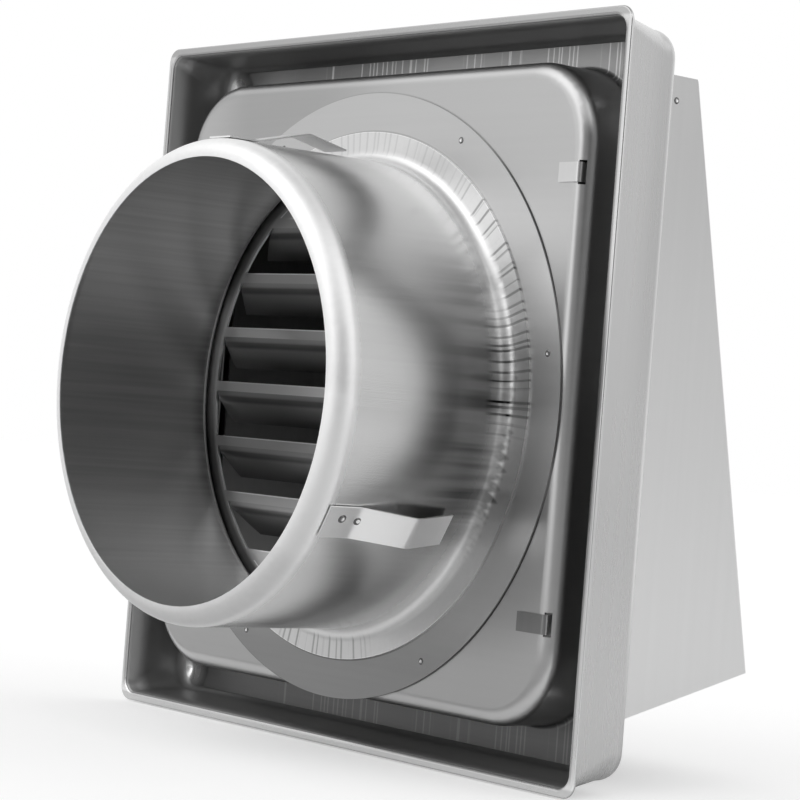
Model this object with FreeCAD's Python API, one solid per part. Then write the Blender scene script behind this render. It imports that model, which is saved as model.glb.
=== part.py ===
import FreeCAD, Part
import math
import os

# Dryer vent cap for an outside wall, pressed and folded from thin stainless sheet.
# X runs across the wall, +Y points into the wall along the duct, +Z is up.
# The origin is on the duct axis, in the plane of the frame's lip that lies on the wall.

sheet = 0.6                   # thickness of every pressed or folded sheet

# duct spigot
tube_r = 70.0
flare_r = 4.0                 # round from the tube into its flange
spigot_land = 5.0             # flat of the flange beyond the flare
nose_r = 5.8                  # tube end curled inwards
mouth_y = 61.0                # tube end from the wall plane

# louvre plate
weld_land = 11.8              # ring of the plate outside the spigot's flange
louvre_margin = 2.4           # slot ends to the inside of the tube
louvre_count = 6
louvre_pitch = 17.25
louvre_strip = 3.3            # flat strip left between two slots
blade_inset = 1.5             # blade end to slot end
blade_length = 8.9            # straight part of a blade
blade_bend_r = 4.0            # bend from the plate into a blade
blade_angle = 38.0            # blade from the plane of the plate

# leaf springs, spread evenly round the duct
spring_places = ("top", "left", "right")
spring_width = 9.9
spring_sheet = 0.5
spring_seat = 0.2             # pad to the top of the round tube
spring_pad = 10.7             # length of the welded pad
spring_ramp = 18.0            # pad to crest
spring_tail = 14.0            # crest to free end
spring_rise = 4.3             # underside at the crest above the pad
spring_tip = 1.3              # underside at the free end above the pad
spring_bend_r = 10.0
spring_crest_r = 6.0

# base pan, drawn towards the wall
axis_drop = 2.55              # duct axis below the middle of the pan
panel_margin = 2.6            # louvre plate to the outside of the pan, at the sides
pan_corner_r = 24.0
pan_edge_r = 5.0              # soft edge of the raised panel
pan_bend_r = 1.5              # bend from the flange into the drawn part
pan_rise = 1.0                # drawn part above the middle of the flange
pan_flange = 8.6              # flange welded into the bend of the frame's front
pan_hole_gap = 1.0            # round opening beyond the spigot's flange
tab_play = 0.6                # tab to the sides of its slot

# outer frame
frame_depth = 24.0            # lip to front face
frame_corner_r = 4.5          # corner of the walls near the lip
frame_nose_r = 8.5            # corner of the walls at the front
frame_front_r = 5.0           # bend from the wall into the front face
frame_land = 3.5              # depth of the walls with the tight corner
frame_nose = 6.5              # depth of the walls with the round corner
frame_lean = 1.2              # how far the walls lean in between
flange_gap = 1.6              # pan flange to the inside of the wall
flange_seat = 0.05            # pan flange to the bend that carries it
hood_play = 0.5               # hood to the opening in the front face
lip_width = 2.1               # how far the lip stands out from the wall
lip_corner_r = 4.5
lip_bend_r = 1.2              # bend from the lip into the wall

# hood
hood_side_play = 1.3          # tabs to the inside of the pan
hood_top_lap = 0.65           # top of the hood beyond the drawn part of the pan
hood_top_depth = 45.1         # front of the hood at its top
hood_low_depth = 84.2         # front of the hood at its lower edge
hood_low = 72.4               # lower front edge below the duct axis
hood_low_angle = 14.6         # lower edge of the sides from level
hood_fold_r = 1.6             # fold between front and sides
hood_corner = 1.3             # cut corner where front and top meet
lid_flange = 12.0             # lid flanges welded inside the hood
tab_width = 5.5
tab_bend_r = 1.4
tab_folds = {65.1: 8.1, -59.3: 11.2}   # height of a tab : length folded over the panel

# sizes that follow
spigot_flange_r = tube_r + flare_r + spigot_land
plate_r = spigot_flange_r + weld_land
louvre_field_r = tube_r - sheet - louvre_margin
pan_half = plate_r + panel_margin
pan_flange_half = pan_half + pan_flange
wall_half = pan_flange_half + flange_gap + sheet + frame_lean
lip_half = wall_half + lip_width
lip_hem = 2 * sheet                    # lip folded back on itself
lip_edge_r = 0.45 * lip_hem
hood_half = pan_half - sheet - hood_side_play
hood_rise = pan_half + hood_top_lap
hood_top = axis_drop + hood_rise
lid_bend_r = 0.6 * hood_fold_r
front_bend_r = frame_front_r - sheet   # inside of the frame's front bend
flange_lift = front_bend_r - math.sqrt(front_bend_r ** 2 - (front_bend_r - flange_gap) ** 2)

# levels along Y
plate_back = 0.0
spigot_back = plate_back + sheet
panel_back = plate_back - sheet
flange_front = sheet - frame_depth + flange_lift + flange_seat


def vec(x, y, z):
    return FreeCAD.Vector(x, y, z)


def prism(points, half_width):
    """Side outline given as (y, z) points, spread evenly across X."""
    ring = [vec(-half_width, y, z) for y, z in points]
    face = Part.Face(Part.makePolygon(ring + ring[:1]))
    return face.extrude(vec(2 * half_width, 0, 0))


def edges_on(shape, y, reach):
    """Edges that lie in the plane y, no further from the frame's middle than reach."""
    found = []
    for edge in shape.Edges:
        box = edge.BoundBox
        inside = max(abs(box.XMin), abs(box.XMax), abs(box.ZMin - axis_drop), abs(box.ZMax - axis_drop))
        if abs(box.YMin - y) < 1e-4 and abs(box.YMax - y) < 1e-4 and inside < reach + 0.1:
            found.append(edge)
    return found


def square(half, corner_r, y_low, y_high, rise=0.0):
    """Square block with rounded corners, rise above the frame's middle."""
    corner = vec(-half, y_low, axis_drop + rise - half)
    box = Part.makeBox(2 * half, y_high - y_low, 2 * half, corner)
    upright = [e for e in box.Edges if abs(e.BoundBox.YLength - (y_high - y_low)) < 1e-6]
    return box.makeFillet(corner_r, upright)


def end_wire(block, y):
    """Outline of the flat end that a block has at y."""
    ends = [f for f in block.Faces if abs(f.BoundBox.YMin - y) < 1e-4 and abs(f.BoundBox.YMax - y) < 1e-4]
    return ends[0].OuterWire


def rounded_end(block, y, radius):
    return block.makeFillet(radius, edges_on(block, y, lip_half))


def cylinder(radius, y_low, y_high):
    return Part.makeCylinder(radius, y_high - y_low, vec(0, y_low, 0), vec(0, 1, 0))


def frame_block(inset, y_front, y_back):
    """Frame's outline inset from the outside of its walls: tight corners at the lip, round ones in front."""
    nose_back = frame_nose - frame_depth
    land = square(wall_half - inset, frame_corner_r - inset, -frame_land, y_back)
    nose = square(wall_half - frame_lean - inset, frame_nose_r - inset, y_front, nose_back)
    lean = Part.makeLoft([end_wire(nose, nose_back), end_wire(land, -frame_land)], True, True)
    nose = rounded_end(nose, y_front, frame_front_r - inset)
    return land.fuse([lean, nose]).removeSplitter()


def outer_frame():
    """Folded lip, four walls and a narrow front face with the opening for the hood."""
    lip = square(lip_half, lip_corner_r, -lip_hem, 0)
    lip = rounded_end(lip, 0, lip_edge_r)
    lip = rounded_end(lip, -lip_hem, lip_edge_r)
    frame = frame_block(0, -frame_depth, 0).fuse(lip).removeSplitter()
    frame = frame.makeFillet(lip_bend_r - sheet, edges_on(frame, -lip_hem, wall_half))
    frame = frame.cut(frame_block(sheet, sheet - frame_depth, lip_bend_r))
    frame = frame.makeFillet(lip_bend_r, edges_on(frame, 0, wall_half - sheet))
    wide = hood_half + hood_play
    tall = hood_rise + hood_play
    corner = vec(-wide, -2 * frame_depth, axis_drop - tall)
    return frame.cut(Part.makeBox(2 * wide, 2 * frame_depth, 2 * tall, corner))


def tab_slot(height, side):
    """Slot in the pan's soft edge that a hood tab comes through."""
    x_in = hood_half - sheet - tab_play
    depth = pan_edge_r
    tall = tab_width + 2 * tab_play
    box = Part.makeBox(sheet + 2 * tab_play, depth, tall, vec(x_in, panel_back - depth, height - tall / 2))
    return box if side > 0 else box.mirror(vec(0, 0, 0), vec(1, 0, 0))


def base_pan():
    """Flanged sheet drawn into a raised panel, with a round opening and four tab slots."""
    flange_r = frame_nose_r - sheet - flange_gap
    flange = square(pan_flange_half, flange_r, flange_front, flange_front + sheet)
    drawn = square(pan_half, pan_corner_r, flange_front, panel_back, pan_rise)
    drawn = rounded_end(drawn, panel_back, pan_edge_r)
    pan = flange.fuse(drawn).removeSplitter()
    pan = pan.makeFillet(pan_bend_r, edges_on(pan, flange_front + sheet, pan_half + pan_rise))
    inner = pan_half - sheet
    room = square(inner, pan_corner_r - sheet, -frame_depth, panel_back - sheet, pan_rise)
    room = rounded_end(room, panel_back - sheet, pan_edge_r - sheet)
    pan = pan.cut(room)
    pan = pan.makeFillet(pan_bend_r + sheet, edges_on(pan, flange_front, inner + pan_rise))
    pan = pan.cut(cylinder(spigot_flange_r + pan_hole_gap, -frame_depth, 0))
    for height in tab_folds:
        for side in (-1, 1):
            pan = pan.cut(tab_slot(height, side))
    return pan


def louvre_blade(slot_top, half_width):
    """Sheet bent out from the upper edge of a slot, leaning out and down."""
    lean = math.radians(blade_angle)

    def bent(radius, turn, reach):
        y = plate_back - blade_bend_r + radius * math.cos(turn) - reach * math.sin(turn)
        z = slot_top - radius * math.sin(turn) - reach * math.cos(turn)
        return vec(-half_width, y, z)

    rows = []
    for radius in (blade_bend_r, blade_bend_r - sheet):
        start, half_way, end = [bent(radius, turn, 0) for turn in (0, lean / 2, lean)]
        rows.append(Part.Arc(start, half_way, end).toShape())
        rows.append(Part.makeLine(end, bent(radius, lean, blade_length)))
    for turn, reach in ((0, 0), (lean, blade_length)):
        rows.append(Part.makeLine(bent(blade_bend_r, turn, reach), bent(blade_bend_r - sheet, turn, reach)))
    outline = Part.Wire(Part.__sortEdges__(rows))
    return Part.Face(outline).extrude(vec(2 * half_width, 0, 0))


def louvre_plate():
    """Round plate with a field of slots; each slot keeps its bent blade."""
    plate = cylinder(plate_r, panel_back, plate_back)
    field = cylinder(louvre_field_r, 2 * panel_back, sheet)
    blades = []
    for i in range(louvre_count):
        slot_mid = (i - (louvre_count - 1) / 2) * louvre_pitch
        tall = louvre_pitch - louvre_strip
        slot_top = slot_mid + tall / 2
        corner = vec(-plate_r, 2 * panel_back, slot_mid - tall / 2)
        band = Part.makeBox(2 * plate_r, 4 * sheet, tall, corner)
        plate = plate.cut(field.common(band))
        farthest = abs(slot_mid) + tall / 2
        blades.append(louvre_blade(slot_top, math.sqrt(louvre_field_r ** 2 - farthest ** 2) - blade_inset))
    return plate.fuse(blades).removeSplitter()


def arc(centre_r, centre_y, radius, start, end):
    """Arc in the outline of a turned part, angles in degrees."""
    circle = Part.Circle(vec(centre_r, centre_y, 0), vec(0, 0, 1), radius)
    return Part.ArcOfCircle(circle, math.radians(start), math.radians(end)).toShape()


def duct_spigot():
    """Turned tube with a curled-in mouth and a flared flange on the louvre plate."""
    flare_end = tube_r + flare_r
    flare_top = spigot_back + flare_r
    nose_in = tube_r - nose_r
    nose_low = mouth_y - nose_r
    bore_r = tube_r - sheet
    rows = [
        Part.makeLine(vec(flare_end, plate_back, 0), vec(spigot_flange_r, plate_back, 0)),
        Part.makeLine(vec(spigot_flange_r, plate_back, 0), vec(spigot_flange_r, spigot_back, 0)),
        Part.makeLine(vec(spigot_flange_r, spigot_back, 0), vec(flare_end, spigot_back, 0)),
        arc(flare_end, flare_top, flare_r, 180, 270),
        Part.makeLine(vec(tube_r, flare_top, 0), vec(tube_r, nose_low, 0)),
        arc(nose_in, nose_low, nose_r, 0, 90),
        Part.makeLine(vec(nose_in, mouth_y, 0), vec(nose_in, mouth_y - sheet, 0)),
        arc(nose_in, nose_low, nose_r - sheet, 0, 90),
        Part.makeLine(vec(bore_r, nose_low, 0), vec(bore_r, flare_top, 0)),
        arc(flare_end, flare_top, flare_r + sheet, 180, 270),
    ]
    outline = Part.Wire(Part.__sortEdges__(rows))
    return Part.Face(outline).revolve(vec(0, 0, 0), vec(0, 1, 0), 360)


def offset_line(points, thick):
    """Second side of a bent strip, thick away from the given (y, z) line."""
    turns = []
    for (y0, z0), (y1, z1) in zip(points, points[1:]):
        turns.append(math.atan2(z1 - z0, y1 - y0))
    raised = []
    for i, (y, z) in enumerate(points):
        before = turns[max(i - 1, 0)]
        after = turns[min(i, len(turns) - 1)]
        half = (after - before) / 2
        lean = (after + before) / 2
        reach = thick / math.cos(half)
        raised.append((y + reach * math.sin(lean), z - reach * math.cos(lean)))
    return raised


def leaf_spring(turn):
    """Strip welded to the tube by its pad, bowed up and back to a free end."""
    seat = tube_r + spring_seat
    start = mouth_y - nose_r
    bend = start - spring_pad
    crest = bend - spring_ramp
    under = [(start, seat), (bend, seat),
             (crest, seat + spring_rise), (crest - spring_tail, seat + spring_tip)]
    over = offset_line(under, spring_sheet)
    strip = prism(under + over[::-1], spring_width / 2)

    def bend_edges(point):
        return [e for e in strip.Edges if e.BoundBox.XLength > spring_width / 2
                and abs(e.BoundBox.YMin - point[0]) < 1e-4 and abs(e.BoundBox.ZMin - point[1]) < 1e-4]

    strip = strip.makeFillet(spring_bend_r, bend_edges(over[1]))
    strip = strip.makeFillet(spring_bend_r + spring_sheet, bend_edges(under[1]))
    strip = strip.makeFillet(spring_crest_r, bend_edges(under[2]))
    strip = strip.makeFillet(spring_crest_r + spring_sheet, bend_edges(over[2]))
    strip.rotate(vec(0, 0, 0), vec(0, 1, 0), turn)
    return strip


front_lean = math.atan2(hood_low_depth - hood_top_depth, hood_top + hood_low)


def front_y(z, inset):
    """Where the sloping front lies at height z, inset towards the wall."""
    return -hood_top_depth - (hood_top - z) * math.tan(front_lean) + inset / math.cos(front_lean)


def front_edges(block):
    """The two sloping edges where a block's front meets its sides."""
    low = block.BoundBox.ZLength / 2
    middle = block.BoundBox.Center.y
    back = block.BoundBox.YMax - 1
    edges = [e for e in block.Edges if e.BoundBox.ZLength > low and e.BoundBox.YMax < back]
    return [e for e in edges if e.BoundBox.XLength < 1e-4 and e.BoundBox.YMin < middle]


def rim_edges(block, top, back):
    """Edges round a block's top, apart from the one along its back."""
    return [e for e in block.Edges if e.BoundBox.ZMin > top - 1e-4 and e.BoundBox.YMin < back - 1e-4]


def hood_tab(height, fold):
    """Tab from the side's back edge, through the pan and folded over its panel."""
    circle_y = plate_back - tab_bend_r
    circle_x = hood_half - tab_bend_r
    side = Part.makeBox(sheet, circle_y - flange_front, tab_width, vec(hood_half - sheet, flange_front, 0))
    flap = Part.makeBox(fold - tab_bend_r, sheet, tab_width, vec(hood_half - fold, panel_back, 0))
    bend = Part.makeCylinder(tab_bend_r, tab_width, vec(circle_x, circle_y, 0), vec(0, 0, 1), 90)
    bend = bend.cut(Part.makeCylinder(tab_bend_r - sheet, tab_width, vec(circle_x, circle_y, 0)))
    tab = side.fuse([flap, bend]).removeSplitter()
    tab.translate(vec(0, 0, height - tab_width / 2))
    return tab


def hood_shell():
    """Sloping front folded into two sides, open below, with two tabs on each side."""
    low_back = -hood_low - (hood_low_depth + flange_front) * math.tan(math.radians(hood_low_angle))
    cut_z = hood_top - hood_corner
    outline = [(flange_front, hood_top), (front_y(hood_top, 0) + hood_corner, hood_top),
               (front_y(cut_z, 0), cut_z), (-hood_low_depth, -hood_low), (flange_front, low_back)]
    hood = prism(outline, hood_half)
    above = hood_top + frame_depth
    below = low_back - frame_depth
    hollow = [(0, above), (front_y(above, sheet), above), (front_y(below, sheet), below), (0, below)]
    room = prism(hollow, hood_half - sheet)
    hood = hood.makeFillet(hood_fold_r, front_edges(hood))
    room = room.makeFillet(hood_fold_r - sheet, front_edges(room))
    hood = hood.cut(room)
    tabs = []
    for height, fold in tab_folds.items():
        tab = hood_tab(height, fold)
        tabs += [tab, tab.mirror(vec(0, 0, 0), vec(1, 0, 0))]
    return hood.fuse(tabs).removeSplitter()


def hood_lid():
    """Flat top with flanges turned down inside the sides and the front."""
    low = hood_top - lid_flange
    inside = hood_half - sheet
    outline = [(flange_front, hood_top), (front_y(hood_top, sheet), hood_top),
               (front_y(low, sheet), low), (flange_front, low)]
    lid = prism(outline, inside)
    corner_r = hood_fold_r - sheet
    lid = lid.makeFillet(corner_r, front_edges(lid))
    lid = lid.makeFillet(lid_bend_r, rim_edges(lid, hood_top, flange_front))
    under = hood_top - sheet
    below = low - lid_flange
    hollow = [(0, under), (front_y(under, 2 * sheet), under), (front_y(below, 2 * sheet), below), (0, below)]
    room = prism(hollow, inside - sheet)
    room = room.makeFillet(corner_r - sheet, front_edges(room))
    room = room.makeFillet(lid_bend_r - sheet, rim_edges(room, under, 0))
    return lid.cut(room)


os.makedirs("parts", exist_ok=True)
outer_frame().exportStep("parts/outer_frame.step")
base_pan().exportStep("parts/base_pan.step")
louvre_plate().exportStep("parts/louvre_plate.step")
duct_spigot().exportStep("parts/duct_spigot.step")
hood_shell().exportStep("parts/hood_shell.step")
hood_lid().exportStep("parts/hood_lid.step")
for i, place in enumerate(spring_places):
    leaf_spring(360 * i / len(spring_places)).exportStep("parts/spring_" + place + ".step")
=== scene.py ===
import math

import bpy
from mathutils import Matrix, Vector


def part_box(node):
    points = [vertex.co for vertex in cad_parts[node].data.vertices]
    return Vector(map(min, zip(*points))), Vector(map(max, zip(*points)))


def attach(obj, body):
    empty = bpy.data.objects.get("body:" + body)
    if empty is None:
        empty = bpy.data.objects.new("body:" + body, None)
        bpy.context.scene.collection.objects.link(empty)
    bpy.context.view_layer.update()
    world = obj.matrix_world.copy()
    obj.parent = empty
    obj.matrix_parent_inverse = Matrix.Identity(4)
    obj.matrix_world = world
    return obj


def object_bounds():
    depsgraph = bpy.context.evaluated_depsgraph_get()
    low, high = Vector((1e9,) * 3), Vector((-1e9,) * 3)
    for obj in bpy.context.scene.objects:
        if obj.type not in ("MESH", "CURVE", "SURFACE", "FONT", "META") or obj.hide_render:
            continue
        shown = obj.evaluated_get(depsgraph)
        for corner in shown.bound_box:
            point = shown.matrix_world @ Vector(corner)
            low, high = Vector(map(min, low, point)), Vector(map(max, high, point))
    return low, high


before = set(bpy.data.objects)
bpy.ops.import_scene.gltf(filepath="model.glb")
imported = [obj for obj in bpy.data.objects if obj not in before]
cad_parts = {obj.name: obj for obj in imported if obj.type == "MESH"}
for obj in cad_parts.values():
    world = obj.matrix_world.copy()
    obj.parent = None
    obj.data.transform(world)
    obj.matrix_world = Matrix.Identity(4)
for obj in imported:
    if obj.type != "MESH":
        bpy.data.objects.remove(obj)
cad_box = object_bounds()


# Outer frame
# A square frame of thin stainless sheet, with its lip folded out against the wall and a narrow front face.
# Outside it is brushed along its sides; the inside is rougher, and its colour is painted darker as shade in
# the channel.

class Finish:
    """A value inside a material: arithmetic on it adds Math nodes, and node() adds any other node."""

    def __init__(self, tree, socket=None):
        self.tree = tree
        self.socket = socket

    def node(self, kind, settings=None, inputs=None, out=0):
        made = self.tree.nodes.new(kind)
        for name, value in (settings or {}).items():
            if name == "stops":
                while len(made.color_ramp.elements) < len(value):
                    made.color_ramp.elements.new(0.5)
                for stop, (spot, level) in zip(made.color_ramp.elements, value):
                    stop.position = spot
                    stop.color = (level, level, level, 1)
            else:
                setattr(made, name, value)
        for name, value in (inputs or {}).items():
            if isinstance(value, Finish):
                self.tree.links.new(value.socket, made.inputs[name])
            else:
                made.inputs[name].default_value = value
        return Finish(self.tree, made.outputs[out])

    def math(self, operation, first, second=0.0):
        return self.node("ShaderNodeMath", {"operation": operation}, {0: first, 1: second})

    def __add__(self, other):
        return self.math("ADD", self, other)

    def __radd__(self, other):
        return self.math("ADD", other, self)

    def __sub__(self, other):
        return self.math("SUBTRACT", self, other)

    def __rsub__(self, other):
        return self.math("SUBTRACT", other, self)

    def __mul__(self, other):
        return self.math("MULTIPLY", self, other)

    def __rmul__(self, other):
        return self.math("MULTIPLY", other, self)

    def __truediv__(self, other):
        return self.math("DIVIDE", self, other)

    def __abs__(self):
        return self.math("ABSOLUTE", self)

    def root(self):
        return self.math("SQRT", self)

    def part(self):
        """What is left over after the whole steps."""
        return self.math("FRACT", self)

    def angle(self, other):
        """The angle whose tangent is this value over the other."""
        return self.math("ARCTAN2", self, other)

    def least(self, other):
        return self.math("MINIMUM", self, other)

    def most(self, other):
        return self.math("MAXIMUM", self, other)

    def rise(self, low, high):
        """0 below low, 1 above high, smooth between."""
        return self.node("ShaderNodeMapRange", {"interpolation_type": "SMOOTHSTEP"},
                         {"Value": self, "From Min": low, "From Max": high})

    def fall(self, low, high):
        """1 below low, 0 above high, smooth between."""
        return 1 - self.rise(low, high)

    def band(self, low, full, fade, high):
        """0 below low, 1 from full to fade, 0 above high."""
        return self.rise(low, full) * self.fall(fade, high)

    def into(self, shader, name):
        self.tree.links.new(self.socket, shader.inputs[name])


def steel(name):
    """A new bare steel material: its shader and the place on the piece, in metres."""
    material = bpy.data.materials.new(name)
    material.use_nodes = True
    shader = material.node_tree.nodes["Principled BSDF"]
    shader.inputs["Metallic"].default_value = 1.0
    place = Finish(material.node_tree).node("ShaderNodeTexCoord", out="Object")
    return material, shader, place


def noise(place, scale, detail):
    """Noise about 0.5, scaled differently along each axis."""
    at = place.node("ShaderNodeMapping", {}, {"Vector": place, "Scale": scale})
    return place.node("ShaderNodeTexNoise", {}, {"Vector": at, "Scale": 1.0, "Detail": detail})


def axes(place):
    """The three coordinates of a place as separate values."""
    split = place.node("ShaderNodeSeparateXYZ", {}, {"Vector": place}).socket.node
    return [Finish(place.tree, split.outputs[i]) for i in range(3)]


def grey(value):
    """A neutral colour from one value."""
    return value.node("ShaderNodeCombineColor", {}, {"Red": value, "Green": value, "Blue": value})


def raised(height):
    """Bump from a height in metres."""
    return height.node("ShaderNodeBump", {}, {"Height": height, "Strength": 1.0, "Distance": 1.0})


def rounded(a, b, radius):
    """Distance from a corner with the given radius, from the distances to its two sides."""
    a = a + radius
    b = b + radius
    out_a = a.most(0)
    out_b = b.most(0)
    return (out_a * out_a + out_b * out_b).root() + a.most(b).least(0) - radius


def wear(node_name, material):
    """Gives a sheet its finish, with smooth bends and crisp edges."""
    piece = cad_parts[node_name]
    piece.data.materials.clear()
    piece.data.materials.append(material)
    for face in piece.data.polygons:
        face.use_smooth = True
    joined = piece.modifiers.new("joined", "WELD")
    joined.merge_threshold = 1e-6
    crisp = piece.modifiers.new("crisp", "EDGE_SPLIT")
    crisp.split_angle = math.radians(32)
    even = piece.modifiers.new("even", "WEIGHTED_NORMAL")
    even.keep_sharp = True


frame_low, frame_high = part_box("outer_frame")
middle = (frame_low + frame_high) / 2
lip_width = 0.0021
lip_corner_r = 0.0045
front_corner_r = 0.0085
front_bend_r = 0.005
wall_half = (frame_high.x - frame_low.x) / 2 - lip_width
wall_lean, lean_start, lean_depth = 0.0012, 0.0035, 0.014
below_skin, at_skin = -0.00035, -0.00025
frame_steel, shader, place = steel("frame_steel")
x, y, z = axes(place)
off_middle = abs(z - middle.z)
lean = ((0 - y - lean_start) / lean_depth).most(0).least(1)
side = abs(x) + lean * wall_lean - wall_half
level = off_middle + lean * wall_lean - wall_half
wall = rounded(side, level, lip_corner_r + lean * (front_corner_r - lip_corner_r))
# The inside of the sheet is rougher, and its colour is painted darker as shade in the channel.
dull_and_shaded = rounded(wall, frame_low.y - y, front_bend_r).fall(below_skin, at_skin)
flared = (y + 0.0085).most(0)
# Painted shade on the inner edge of the lip: along the top and bottom, and on the sides, where the dark band
# also makes the lip look narrower.
level_lip_shade = off_middle.rise(wall_half - 0.001, wall_half) * y.rise(-0.0016, -0.0006)
side_lip_shade = abs(x).band(wall_half - 0.0006, wall_half, wall_half + 0.0007, wall_half + 0.0011)
side_lip_shade = side_lip_shade * y.rise(-0.0012, -0.0006) * off_middle.fall(wall_half - 0.005, wall_half - 0.001)
# Painted light and shade on the outside: lighter towards the bottom, and darker near the front higher up.
front_shade = y.fall(-0.022, -0.008) * z.rise(-0.03, 0.05)
streak = noise(place, (6, 1200, 6), 3)
cloud = noise(place, (25, 25, 25), 2)
outside = (1 - dull_and_shaded) * (0.12 - z.rise(-0.09, -0.02) * 0.12 - front_shade * 0.10)
tone = 0.69 + streak * 0.03 - dull_and_shaded * 0.30 - level_lip_shade * 0.22 - side_lip_shade * 0.30 + outside
grey(tone).into(shader, "Base Color")
(0.22 + streak * 0.05 + cloud * 0.06 + dull_and_shaded * 0.20).into(shader, "Roughness")
raised(streak * 0.0000008 - flared * flared * dull_and_shaded * 34).into(shader, "Normal")
wear("outer_frame", frame_steel)


# Base pan
# One sheet drawn towards the wall into a raised panel, its flange spot-welded inside the frame's front.
# The panel is smooth and satin; the sides are rougher and painted darker as shade, and the draw has left
# marks across the flange and a small press mark in each of its corners, painted brighter as a glint.

def scores(along, scale, scatter=1.0):
    """Distance from the nearest of many lines across one direction, in steps of their spacing."""
    return along.node("ShaderNodeTexVoronoi", {"voronoi_dimensions": "1D"},
                      {"W": along, "Scale": scale, "Randomness": scatter}, out="Distance")


def groups(along, scale):
    """Slow noise about 0.5 along one direction."""
    return along.node("ShaderNodeTexNoise", {"noise_dimensions": "1D"},
                      {"W": along, "Scale": scale, "Detail": 0.0})


pan_low, pan_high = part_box("base_pan")
plate_r = 0.0908
press_x, press_z, press_r = 0.0970, 0.0965, 0.008
pan_steel, shader, place = steel("pan_steel")
x, y, z = axes(place)
off_middle = abs(z - middle.z)
# The drawn sides and the flange are rougher, and their colour is painted darker as shade in the channel.
deep = y.fall(pan_low.y + 0.004, pan_high.y - 0.006)
flange = y.fall(pan_low.y + 0.0012, pan_low.y + 0.0025)
lower = z.fall(-0.03, 0.03)
upright = (abs(x) - off_middle).rise(-0.0001, 0.0001)
along = x * (1 - upright) + z * upright
marks = scores(along, 420.0).fall(0.05, 0.17) * groups(along, 60.0).rise(0.46, 0.52)
marks = marks * flange * (1 - 0.8 * lower) * x.fall(0.060, 0.068)
from_axis = (x * x + z * z).root()
beside = abs(x) / from_axis
# Painted shadow in the gap where the plate's edge stands off the panel, strongest where the plate overhangs
# the rounded sides.
seam_shadow = from_axis.band(plate_r - 0.0002, plate_r, plate_r + 0.0002, plate_r + 0.0004) * (1 - deep)
seam_shadow = seam_shadow * (0.25 + beside.rise(0.55, 0.75) * (1 - 0.8 * beside.rise(0.93, 0.98)))
# The press mark is a dimple in the bump, and its colour is painted brighter as a glint.
from_press_x = abs(x) - press_x
from_press_z = off_middle - press_z
press_and_glint = (from_press_x * from_press_x + from_press_z * from_press_z).root().fall(0.0, press_r) * flange
# Painted shade on the flange in the channel, strongest along the bottom and on the upper left, and left off
# the press marks.
painted_shade = flange * (0.06 + 0.22 * lower + 0.08 * (1 - lower) * x.rise(0.0, 0.06)) * (1 - press_and_glint)
shaded = z.rise(0.04, 0.08) * x.band(-0.02, 0.03, 0.06, 0.085)
streak = noise(place, (12, 60, 500), 3)
cloud = noise(place, (18, 18, 18), 2)
tone = 0.50 + streak * 0.03 - shaded * 0.10 - deep * 0.10 - painted_shade
tone = tone + marks * 0.30 - seam_shadow * 0.34 + press_and_glint * 0.50
grey(tone).into(shader, "Base Color")
(0.24 + streak * 0.05 + cloud * 0.06 + deep * 0.06 - press_and_glint * 0.16).into(shader, "Roughness")
raised(marks * 0.00003 + streak * 0.000002 - press_and_glint * 0.0042).into(shader, "Normal")
wear("base_pan", pan_steel)


# Louvre plate
# A flat round plate laid on the panel and spot-welded to it round its border, with six slots cut across it.
# The cut edges are painted bright as highlights, and the plate is painted darker as shade where the foot of
# the spigot curves up from it.

plate_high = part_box("louvre_plate")[1]
louvre_pitch = 0.01725
slot_r = 0.067
foot_r = 0.079
plate_steel, shader, place = steel("plate_steel")
x, y, z = axes(place)
from_axis = (x * x + z * z).root()
# Painted shadow just outside the edge of the spigot's flange.
seam_shadow = from_axis.band(foot_r - 0.0001, foot_r + 0.0001, foot_r + 0.0003, foot_r + 0.0006)
# Painted shade on the plate's own outer edge.
rim_shade = from_axis.rise(plate_high.x - 0.00015, plate_high.x - 0.00005)
from_strip = ((z / louvre_pitch + 10.5).part() - 0.5) * louvre_pitch
# Painted highlights along the cut ends and the lower edges of the slots.
slot_ends = from_axis.band(slot_r - 0.0002, slot_r - 0.0001, slot_r + 0.0002, slot_r + 0.0004)
slot_ends = slot_ends * abs(from_strip).rise(0.0016, 0.0018)
lower_edges = from_strip.band(0.0012, 0.0014, 0.0018, 0.0019) * from_axis.fall(0.060, 0.066)
edge_highlight = slot_ends.most(lower_edges)
# Painted shade where the foot of the spigot curves up from the plate.
well_shade = from_axis.band(slot_r + 0.0004, slot_r + 0.0020, 0.0735, 0.0740)
# The plate's sides above the middle are painted lighter as light, and its bottom is painted darker as shade.
painted_light = (abs(x) / from_axis).rise(0.86, 0.96) * z.rise(-0.025, 0.0)
painted_shade = z.fall(-0.078, -0.056)
streak = noise(place, (14, 60, 500), 3)
cloud = noise(place, (18, 18, 18), 2)
tone = 0.54 + painted_light * 0.32 - painted_shade * 0.24 + streak * 0.04
tone = tone - seam_shadow * 0.14 - rim_shade * 0.20 - well_shade * 0.30 + edge_highlight * 0.40
grey(tone).into(shader, "Base Color")
(0.30 + streak * 0.05 + cloud * 0.06).into(shader, "Roughness")
raised(streak * 0.000002).into(shader, "Normal")
wear("louvre_plate", plate_steel)


# Louvre blades
# The tongues that the slots leave, still one sheet with the plate, bent out and down from each slot's top.
# Each fills its slot up to the round ends, so the six differ in outline; the bend is painted darker than the
# flat as shade, and each blade is painted darker towards its lower end as shade.

blade_steel, shader, place = steel("blade_steel")
y = axes(place)[1]
streak = noise(place, (14, 400, 400), 3)
# Painted shade at the bend, and painted shade growing towards the blade's lower end.
bend_shade = (0 - y).band(0.00002, 0.0003, 0.0009, 0.0018)
grey(0.42 + streak * 0.06 - bend_shade * 0.22 + y * 30).into(shader, "Base Color")
(0.30 + streak * 0.08).into(shader, "Roughness")
raised(streak * 0.000002).into(shader, "Normal")

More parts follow.
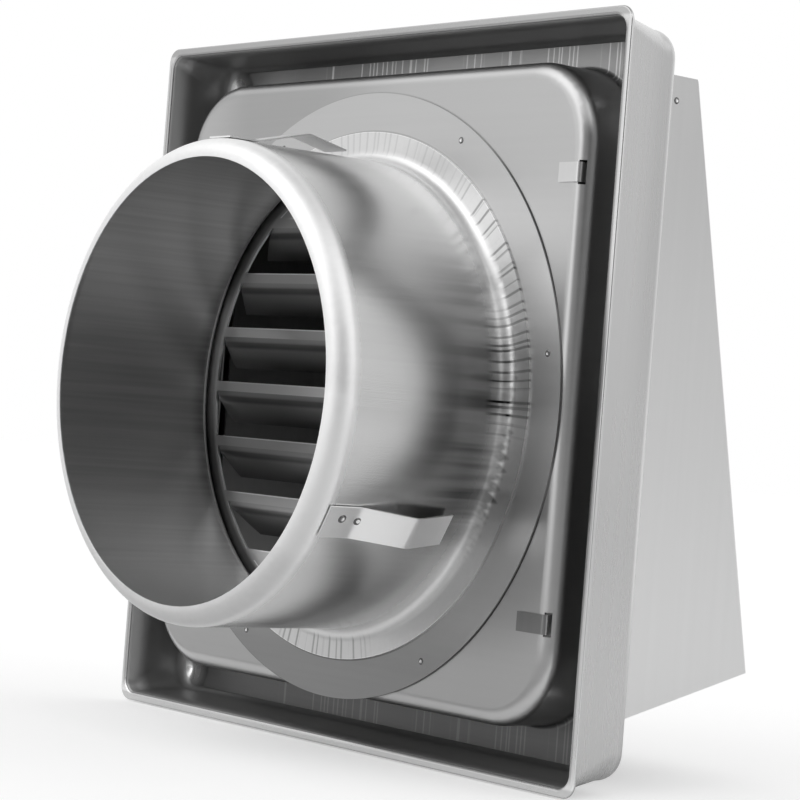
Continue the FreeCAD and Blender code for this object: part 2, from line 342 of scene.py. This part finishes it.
louvre_count = 6
louvre_strip = 0.0033
blade_lean = math.radians(38)
blade_length, blade_steps = 0.0089, 4
blade_sheet = 0.0007
blade_play = 0.0008
blade_lap = 0.0002
bend_r, bend_steps = 0.0037, 5
bend_depth = -0.004
for i in range(louvre_count):
    slot_top = (i - (louvre_count - 1) / 2) * louvre_pitch + (louvre_pitch - louvre_strip) / 2
    path = []
    for k in range(bend_steps + 1):
        turn = blade_lean * k / bend_steps
        path.append((bend_r * turn, bend_depth + bend_r * math.cos(turn), slot_top - bend_r * math.sin(turn)))
    bend_length, flat_depth, flat_height = path[-1]
    for k in range(1, blade_steps + 1):
        run = blade_length * k / blade_steps
        path.append((bend_length + run, flat_depth - run * math.sin(blade_lean),
                     flat_height - run * math.cos(blade_lean)))
    path = [(math.sqrt(slot_r ** 2 - (slot_top - run) ** 2) - blade_play, depth, height)
            for run, depth, height in path]
    bpy.ops.object.select_all(action="DESELECT")
    bpy.ops.mesh.primitive_plane_add(size=1, location=(0, path[0][1], slot_top + blade_lap / 2),
                                     rotation=(math.radians(90), 0, 0))
    blade = bpy.context.object
    blade.scale = (2 * path[0][0], blade_lap, 1)
    blade.name = "louvre_blade_%d" % (i + 1)
    bpy.ops.object.transform_apply(location=True, rotation=True, scale=True)
    bpy.ops.object.mode_set(mode="EDIT")
    bpy.ops.mesh.select_mode(type="EDGE")
    bpy.ops.mesh.select_all(action="DESELECT")
    bpy.ops.object.mode_set(mode="OBJECT")
    for edge in blade.data.edges:
        edge.select = all(blade.data.vertices[v].co.z < slot_top + blade_lap / 4 for v in edge.vertices)
    bpy.ops.object.mode_set(mode="EDIT")
    for (half, depth, height), (next_half, next_depth, next_height) in zip(path, path[1:]):
        step = (0, next_depth - depth, next_height - height)
        bpy.ops.mesh.extrude_region_move(TRANSFORM_OT_translate={"value": step})
        bpy.ops.transform.resize(value=(next_half / half, 1, 1), center_override=(0, next_depth, next_height))
    bpy.ops.object.mode_set(mode="OBJECT")
    sheet = blade.modifiers.new("sheet", "SOLIDIFY")
    sheet.thickness = blade_sheet
    sheet.offset = 0
    sheet.use_even_offset = True
    bpy.ops.object.modifier_apply(modifier="sheet")
    bpy.ops.object.shade_smooth_by_angle(angle=math.radians(40))
    blade.data.materials.append(blade_steel)
    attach(blade, "root")


# Spot welds
# Where a weld joins two sheets, the welding tip leaves a small dark ring round a bright dish in the steel.
# The mark is made once and copied, here to the plate's border and later to the springs and the hood.

weld_r, weld_height, weld_middle = 0.0010, 0.0003, -0.00013
weld_steps = ((0.00022, 0.00020), (0.00015, 0.00002), (0.00028, -0.00019))
bpy.ops.object.select_all(action="DESELECT")
bpy.ops.mesh.primitive_cylinder_add(vertices=24, radius=weld_r, depth=weld_height,
                                    location=(0, 0, weld_middle))
weld_shape = bpy.context.object
bpy.ops.object.transform_apply(location=True, rotation=True, scale=True)
bpy.ops.object.mode_set(mode="EDIT")
bpy.ops.mesh.select_mode(type="FACE")
bpy.ops.mesh.select_all(action="DESELECT")
bpy.ops.object.mode_set(mode="OBJECT")
for face in weld_shape.data.polygons:
    face.select = face.normal.z > 0.9
bpy.ops.object.mode_set(mode="EDIT")
for inwards, upwards in weld_steps:
    bpy.ops.mesh.inset(thickness=inwards, depth=upwards)
bpy.ops.object.mode_set(mode="OBJECT")
bpy.ops.object.shade_smooth_by_angle(angle=math.radians(50))
weld_mesh = weld_shape.data
dish = weld_mesh.attributes.new("dish", "FLOAT", "POINT")
for face in weld_mesh.polygons:
    if face.select:
        for corner in face.vertices:
            dish.data[corner].value = 1.0
bpy.data.objects.remove(weld_shape)

weld_steel, shader, place = steel("weld_steel")
speck = noise(place, (3000, 3000, 3000), 2)
dish = place.node("ShaderNodeAttribute", {"attribute_name": "dish"}, out="Fac")
grey(0.03 + speck * 0.30 + dish * 0.70).into(shader, "Base Color")
(0.20 + speck * 0.12).into(shader, "Roughness")
raised(speck * 0.00002).into(shader, "Normal")
weld_mesh.materials.append(weld_steel)


def weld_mark(name, spot, facing, size=1.0):
    """A copy of the mark of a spot weld, on the sheet at spot."""
    turn = Vector((0, 0, 1)).rotation_difference(facing).to_matrix().to_4x4()
    mesh = weld_mesh.copy()
    mesh.transform(Matrix.Translation(spot) @ turn @ Matrix.Scale(size, 4))
    mark = bpy.data.objects.new(name, mesh)
    bpy.context.collection.objects.link(mark)
    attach(mark, "root")


weld_ring_r = 0.086
for i, turn in enumerate((61, 10, -61, -119, 170, 119)):
    across = -weld_ring_r * math.cos(math.radians(turn))
    height = weld_ring_r * math.sin(math.radians(turn))
    spot = Vector((across, plate_high.y, height))
    weld_mark("plate_weld_%d" % (i + 1), spot, Vector((0, 1, 0)))


# Duct spigot
# A tube drawn from one sheet: its mouth is curled in, its foot flares into a flange on the louvre plate.
# It is brushed along its length and painted brighter round the mouth as a highlight; the draw has left fine
# radial wrinkles on the flare, beside which the tube is darker in streaks, and the inside is rougher, with
# painted light and shade.

tube_r = 0.070
mouth_curl = 0.0058
spigot_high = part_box("duct_spigot")[1]
spigot_steel, shader, place = steel("spigot_steel")
x, y, z = axes(place)
radius = (x * x + z * z).root()
curl_r = radius - (tube_r - mouth_curl)
curl_y = (y - (spigot_high.y - mouth_curl)).most(0)
dull_and_shaded = (curl_r * curl_r + curl_y * curl_y).root().fall(mouth_curl - 0.0004, mouth_curl - 0.0002)
dull_and_shaded = dull_and_shaded * radius.fall(tube_r, tube_r + 0.0003)
bright = 1 - dull_and_shaded
streak = noise(place, (600, 12, 600), 3)
brush = noise(place, (4000, 40, 4000), 1)
cloud = noise(place, (20, 20, 20), 2)
around = z.angle(x)
strength = groups(around, 40.0)
wrinkle = scores(around, 27.0, 0.65).fall(0.06, 0.21) * strength.rise(0.27, 0.52)
beside = (0 - x) / radius
wrinkled_side = beside.rise(0.45, 0.75) * z.rise(-0.012, -0.002)
wrinkled_low = ((0 - z) / radius).rise(0.92, 0.97) * x.rise(-0.022, -0.010)
wrinkled_top = (z / radius).rise(0.80, 0.95)
patches = wrinkled_side.most(wrinkled_low * 0.8).most(wrinkled_top * 0.25)
foot = (radius + (strength - 0.5) * 0.003).rise(tube_r + 0.0018, tube_r + 0.004)
reach = (foot + beside.rise(0.90, 0.99) * y.fall(0.003, 0.009)).least(1)
folds = wrinkle * patches * reach * bright
# The tube is darker in streaks on its right side near the foot.
dark_streaks = y.fall(0.010, 0.036) * beside.rise(0.74, 0.94) * (1 - 0.35 * z.rise(-0.005, 0.030))
dark_streaks = dark_streaks * (0.75 + 0.35 * noise(place, (250, 10, 250), 2).rise(0.40, 0.62))
dark_streaks = dark_streaks * (1 - foot) * bright * z.rise(-0.075, -0.045)
# The tube's lower right, towards the mouth, is painted lighter as light.
painted_light = y.rise(0.022, 0.040) * beside.rise(0.70, 0.88) * z.band(-0.060, -0.040, -0.012, 0.004) * bright
# The flare is painted brighter as a highlight, most on its right side, and made rougher so that the highlight
# spreads.
flare_highlight = y.fall(0.003, 0.008)
flare_side_light = beside.rise(0.86, 0.96) * z.rise(-0.025, 0.0)
# The edge of the flange is painted bright as a highlight, except on the right side, where it is painted dark
# as shadow.
edge_light_and_shadow = radius.rise(spigot_high.x - 0.0003, spigot_high.x - 0.0001)
# The mouth is painted brighter as a highlight, and made rougher.
mouth_highlight = y.rise(0.053, 0.0565) * bright
# Painted light and shade inside the tube: lighter at the bottom and a little at the top, darker in the middle
# and near the foot.
inside_light_and_shade = dull_and_shaded * (0.62 * z.fall(-0.066, -0.026) + 0.18 * z.rise(0.01, 0.05) + 0.16 * streak - 0.28)
inside_light_and_shade = inside_light_and_shade - dull_and_shaded * y.fall(0.003, 0.009) * 0.2
outside = mouth_highlight * 0.28 + flare_highlight * bright * (0.10 + flare_side_light * 0.18)
outside = outside - folds * 0.40 - dark_streaks * 0.48 + painted_light * 0.30
outside = outside + edge_light_and_shadow * (0.20 - 0.45 * beside.rise(0.75, 0.90))
grey(0.61 + streak * 0.06 + inside_light_and_shade + outside).into(shader, "Base Color")
(0.20 + streak * 0.06 + cloud * 0.04 + dull_and_shaded * 0.20 + mouth_highlight * 0.25 + flare_highlight * 0.10).into(shader, "Roughness")
raised(streak * 0.000008 + brush * 0.00002 - folds * 0.00002).into(shader, "Normal")
wear("duct_spigot", spigot_steel)


# Leaf springs
# Three bowed strips of bright rolled spring steel. The pad of each is held to the tube near its mouth
# by two spot welds, and the free end points back towards the wall.

spring_steel, shader, place = steel("spring_steel")
streak = noise(place, (300, 20, 300), 2)
grey(0.93 + streak * 0.04).into(shader, "Base Color")
(0.34 + streak * 0.06).into(shader, "Roughness")
raised(streak * 0.000004).into(shader, "Normal")
pad_r = 0.0707
pad_welds = ((0.0497, 0.0012), (0.0441, 0.0007))
pad_weld_size = 1.3
for i, spring in enumerate(("spring_top", "spring_left", "spring_right")):
    wear(spring, spring_steel)
    turn = math.radians(120 * i)
    outward = Vector((math.sin(turn), 0, math.cos(turn)))
    sideways = Vector((math.cos(turn), 0, -math.sin(turn)))
    for j, (along, aside) in enumerate(pad_welds):
        spot = outward * pad_r + sideways * aside + Vector((0, along, 0))
        weld_mark("%s_weld_%d" % (spring, j + 1), spot, outward, pad_weld_size)


# Hood
# One sheet folded into a sloping front and two sides, open below, with a flanged lid welded inside the top.
# The sides are brushed up and down, and a spot weld near the top of each holds the lid's flange.

hood_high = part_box("hood_shell")[1]
hood_top, hood_low = 0.0966, -0.0724
top_depth, low_depth = 0.0451, 0.0842
hood_fold_r = 0.0016
lid_weld_y, lid_weld_z = -0.0359, 0.0895
front_lean = math.atan2(low_depth - top_depth, hood_top - hood_low)
hood_steel, shader, place = steel("hood_steel")
x, y, z = axes(place)
front = (0 - y - top_depth) * math.cos(front_lean) - (hood_top - z) * math.sin(front_lean)
skin = rounded(abs(x) - hood_high.x, front, hood_fold_r).most(z - hood_top)
# The inside of the sheet is rougher, and its colour is painted darker as shade.
dull_and_shaded = skin.fall(below_skin, at_skin) * y.fall(-0.005, -0.003)
# The lower tabs, where they pass through the pan, are painted dark as shade.
lower_tab_shade = y.rise(-0.0009, -0.0007) * z.fall(-0.02, 0.02)
# The hood is painted lighter towards the bottom and darker towards the top, as light and shade.
height_light_and_shade = 0.21 * z.fall(-0.08, 0.02) - 0.12 * z.rise(0.0, 0.08)
streak = noise(place, (500, 500, 8), 3)
cloud = noise(place, (15, 15, 15), 2)
grey(0.73 + streak * 0.04 + height_light_and_shade - lower_tab_shade * 0.68 - dull_and_shaded * 0.40).into(shader, "Base Color")
(0.26 + streak * 0.04 + cloud * 0.06 + dull_and_shaded * 0.15).into(shader, "Roughness")
raised(streak * 0.000002).into(shader, "Normal")
wear("hood_shell", hood_steel)
wear("hood_lid", hood_steel)
for side, name in ((1, "left"), (-1, "right")):
    spot = Vector((side * hood_high.x, lid_weld_y, lid_weld_z))
    weld_mark("hood_weld_" + name, spot, Vector((side, 0, 0)))


# Studio
# A pale floor under the part, and a room round it that is light and dark by turns, as the steel shows it.
# The camera sees both as white, and so does the steel where it looks the same way as the camera; the steel
# also sees a strip of floor just beside the part glow, as painted light where the part shades the floor.
# The camera stands where the photograph was taken from.

def rays(place):
    """How a surface is being looked at: by the camera, or in the shine of another surface."""
    path = place.node("ShaderNodeLightPath").socket.node
    camera, glossy, through = [Finish(place.tree, path.outputs[name])
                               for name in ("Is Camera Ray", "Is Glossy Ray", "Is Transmission Ray")]
    return {"camera": camera, "shine": glossy.most(through)}


def mixed(amount, first, second):
    """One colour turning into another as the amount goes from 0 to 1."""
    return amount.node("ShaderNodeMix", {"data_type": "RGBA"}, {"Factor": amount, 6: first, 7: second}, out=2)


floor_gap = 0.0005
floor_glow = 0.46
look_x, look_y = 0.76, -0.65
bpy.ops.object.select_all(action="DESELECT")
bpy.ops.mesh.primitive_plane_add(size=8.0, location=(0, 0, cad_box[0].z - floor_gap))
floor = bpy.context.object
floor.name = "floor"
bpy.ops.object.transform_apply(location=True, rotation=True, scale=True)
floor_paint = bpy.data.materials.new("floor_paint")
floor_paint.use_nodes = True
paint = floor_paint.node_tree.nodes["Principled BSDF"]
paint.inputs["Base Color"].default_value = (0.6, 0.6, 0.6, 1)
paint.inputs["Roughness"].default_value = 1.0
paint.inputs["Specular IOR Level"].default_value = 0.0
place = Finish(floor_paint.node_tree).node("ShaderNodeTexCoord", out="Object")
x, y, z = axes(place)
behind = (x * look_x + y * look_y).rise(0.2, 0.6)
# A strip of floor just beside the part glows in the steel's reflections, as painted light where the part
# shades the floor.
before = y.band(-0.002, 0.002, 0.02, 0.05)
seen = rays(place)
grey(seen["camera"].most(seen["shine"] * behind.most(before))).into(paint, "Emission Color")
paint.inputs["Emission Strength"].default_value = floor_glow
floor.data.materials.append(floor_paint)

world = bpy.data.worlds.new("room")
bpy.context.scene.world = world
world.use_nodes = True
background = world.node_tree.nodes["Background"]
way = Finish(world.node_tree).node("ShaderNodeTexCoord", out="Generated")
x, y, z = axes(way)
turn = (0 - x).angle(y) / (2 * math.pi) + 0.5
low_room = ((-180, 0.95), (-100, 0.95), (-80, 0.6), (-60, 0.7), (-40, 1.15), (-20, 1.0), (0, 1.8), (20, 0.25),
            (40, 0.25), (60, 0.02), (80, 0.4), (100, 1.4), (120, 1.05), (140, 0.62), (160, 0.7), (180, 0.95))
high_room = ((-180, 0.82), (-120, 0.75), (-80, 0.93), (-40, 1.85), (0, 1.8), (40, 0.8), (80, 1.35),
             (120, 1.25), (180, 0.82))
ceiling = (0.52, 0.52, 0.52, 1)
low_stops = [(0.5 + degrees / 360, level) for degrees, level in low_room]
high_stops = [(0.5 + degrees / 360, level) for degrees, level in high_room]
low = turn.node("ShaderNodeValToRGB", {"stops": low_stops}, {"Fac": turn})
high = turn.node("ShaderNodeValToRGB", {"stops": high_stops}, {"Fac": turn})
room = mixed(z.rise(0.82, 0.94), mixed(z.rise(0.34, 0.64), low, high), ceiling)
backdrop = (x * look_x + y * look_y).rise(0.5, 0.8)
seen = rays(way)
mixed(seen["camera"].most(seen["shine"] * backdrop), room, (1, 1, 1, 1)).into(background, "Color")
background.inputs["Strength"].default_value = 1.0

camera = bpy.data.cameras.new("camera")
camera.sensor_width = 36.0
camera.lens = 118.19
viewer = bpy.data.objects.new("camera", camera)
bpy.context.collection.objects.link(viewer)
yaw, pitch, roll = math.radians(49.66), math.radians(-0.48), math.radians(4.43)
right, up, ahead = Vector((-1, 0, 0)), Vector((0, 0, 1)), Vector((0, -1, 0))
right, ahead = right * math.cos(yaw) + ahead * math.sin(yaw), ahead * math.cos(yaw) - right * math.sin(yaw)
up, ahead = up * math.cos(pitch) + ahead * math.sin(pitch), ahead * math.cos(pitch) - up * math.sin(pitch)
right, up = right * math.cos(roll) + up * math.sin(roll), up * math.cos(roll) - right * math.sin(roll)
turned = Matrix((right, up, -ahead)).transposed().to_4x4()
viewer.matrix_world = Matrix.Translation((-0.61015, 0.49822, -0.00705)) @ turned
bpy.context.scene.camera = viewer
bpy.context.scene.view_settings.view_transform = "Standard"
